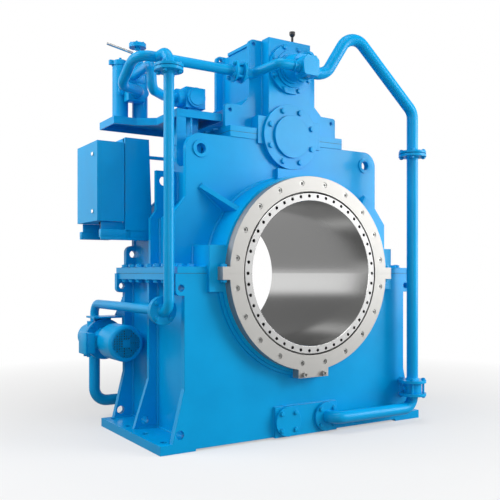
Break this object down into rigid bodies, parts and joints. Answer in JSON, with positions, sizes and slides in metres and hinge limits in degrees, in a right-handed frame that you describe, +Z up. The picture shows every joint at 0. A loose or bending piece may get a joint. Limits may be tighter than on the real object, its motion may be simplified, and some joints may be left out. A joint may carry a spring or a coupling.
{
  "type": "marine gearbox",
  "caption": "Hollow-shaft marine gearbox with a stacked casing, two gear stages, attached pump, filter, standby pump set and control cabinet.",
  "frame": {"origin": "on the hollow shaft's axis, in the plane of the lower casing's front face", "axes": "+X right seen from the front, +Y along the shafts away from the front, +Z up"},
  "size_m": [2.1545, 1.5465, 2.612],
  "materials": {
    "blue_paint": "gloss enamel",
    "brushed_ring": "fine brushed",
    "shaft_steel": "turned and brushed",
    "gear_steel": "ground",
    "bearing_metal": "machined",
    "dark_steel": "black oxide",
    "cabinet_paint": "powder coat",
    "black_plastic": "moulded",
    "lever_steel": "bright"
  },
  "bodies": {
    "casing": {"lower_casing": "blue_paint", "middle_casing": "blue_paint", "top_casing": "blue_paint", "tower_cover": "blue_paint", "breather": "dark_steel", "cover_ring_upper": "brushed_ring", "cover_ring_lower": "brushed_ring", "rear_cover_halves": "brushed_ring", "ring_screws": "dark_steel", "joint_bolts": "blue_paint", "main_bearings": "bearing_metal", "intermediate_bearings": "bearing_metal", "intermediate_cover_front": "blue_paint", "intermediate_cover_rear": "blue_paint", "cover_screws": "blue_paint", "output_bearings": "bearing_metal", "output_cover_front": "blue_paint", "output_cover_rear": "blue_paint", "pump_adapter": "blue_paint", "pump_body": "blue_paint", "pump_cover": "blue_paint", "pressure_pipe": "blue_paint", "check_valve": "blue_paint", "manifold_pipe": "blue_paint", "riser_pipe": "blue_paint", "suction_pipe_upper": "blue_paint", "suction_pipe_middle": "blue_paint", "suction_pipe_lower": "blue_paint", "suction_valve": "blue_paint", "blind_flange": "blue_paint", "pipe_flange_bolts": "blue_paint", "filter_bowls": "blue_paint", "filter_caps": "blue_paint", "filter_head": "blue_paint", "cross_pipe": "blue_paint", "thermostat_valve": "blue_paint", "thermostat_cover": "blue_paint", "platform": "blue_paint", "cabinet_bracket": "blue_paint", "cabinet_box": "cabinet_paint", "cable_glands": "black_plastic", "standby_motor": "blue_paint", "fan_cowl": "blue_paint", "terminal_box": "blue_paint", "standby_pump": "blue_paint", "standby_console": "blue_paint", "standby_discharge_pipe": "blue_paint", "standby_suction_pipe": "blue_paint"},
    "propeller_shaft_line": {"hollow_shaft": "shaft_steel", "main_wheel": "gear_steel"},
    "intermediate": {"intermediate_shaft": "gear_steel", "intermediate_wheel": "gear_steel"},
    "output": {"output_shaft": "gear_steel", "pump_drive_gear": "gear_steel"},
    "pump_idler": {"pump_idler_gear": "gear_steel"},
    "standby_drive": {"standby_rotor": "dark_steel"},
    "changeover": {"filter_lever": "lever_steel"},
    "door": {"cabinet_door": "cabinet_paint"},
    "lock_lower": {"cabinet_lock_lower": "lever_steel"},
    "lock_upper": {"cabinet_lock_upper": "lever_steel"}
  },
  "joints": [
    {"name": "shaft_spin", "type": "hinge", "parent": "casing", "child": "propeller_shaft_line", "pos_m": [0, 0, 0], "axis": [0, 1, 0], "continuous": true},
    {"name": "intermediate_spin", "type": "hinge", "parent": "casing", "child": "intermediate", "pos_m": [0, 0.4, 0.885], "axis": [0, 1, 0], "continuous": true},
    {"name": "output_spin", "type": "hinge", "parent": "casing", "child": "output", "pos_m": [0, 0.4, 1.325], "axis": [0, 1, 0], "continuous": true},
    {"name": "pump_idler_spin", "type": "hinge", "parent": "casing", "child": "pump_idler", "pos_m": [0, 0, 1.265], "axis": [0, 1, 0], "continuous": true},
    {"name": "standby_spin", "type": "hinge", "parent": "casing", "child": "standby_drive", "pos_m": [-0.94, 0.8, -0.449], "axis": [0, 1, 0], "continuous": true},
    {"name": "changeover_turn", "type": "hinge", "parent": "casing", "child": "changeover", "pos_m": [-0.822, 0.735, 1.44], "axis": [0, 0, 1], "range_deg": [0, 90]},
    {"name": "door_swing", "type": "hinge", "parent": "casing", "child": "door", "pos_m": [-1.127, 0.999, 0.577], "axis": [0, 0, -1], "range_deg": [0, 120]},
    {"name": "lock_lower_turn", "type": "hinge", "parent": "door", "child": "lock_lower", "pos_m": [-1.13, 0.688, 0.39], "axis": [1, 0, 0], "range_deg": [0, 90]},
    {"name": "lock_upper_turn", "type": "hinge", "parent": "door", "child": "lock_upper", "pos_m": [-1.13, 0.688, 0.751], "axis": [1, 0, 0], "range_deg": [0, 90]}
  ],
  "couplings": [
    {"joint": "intermediate_spin", "follows": "shaft_spin", "ratio": -3.5385},
    {"joint": "output_spin", "follows": "shaft_spin", "ratio": 7.5824},
    {"joint": "pump_idler_spin", "follows": "shaft_spin", "ratio": -7.5824}
  ]
}
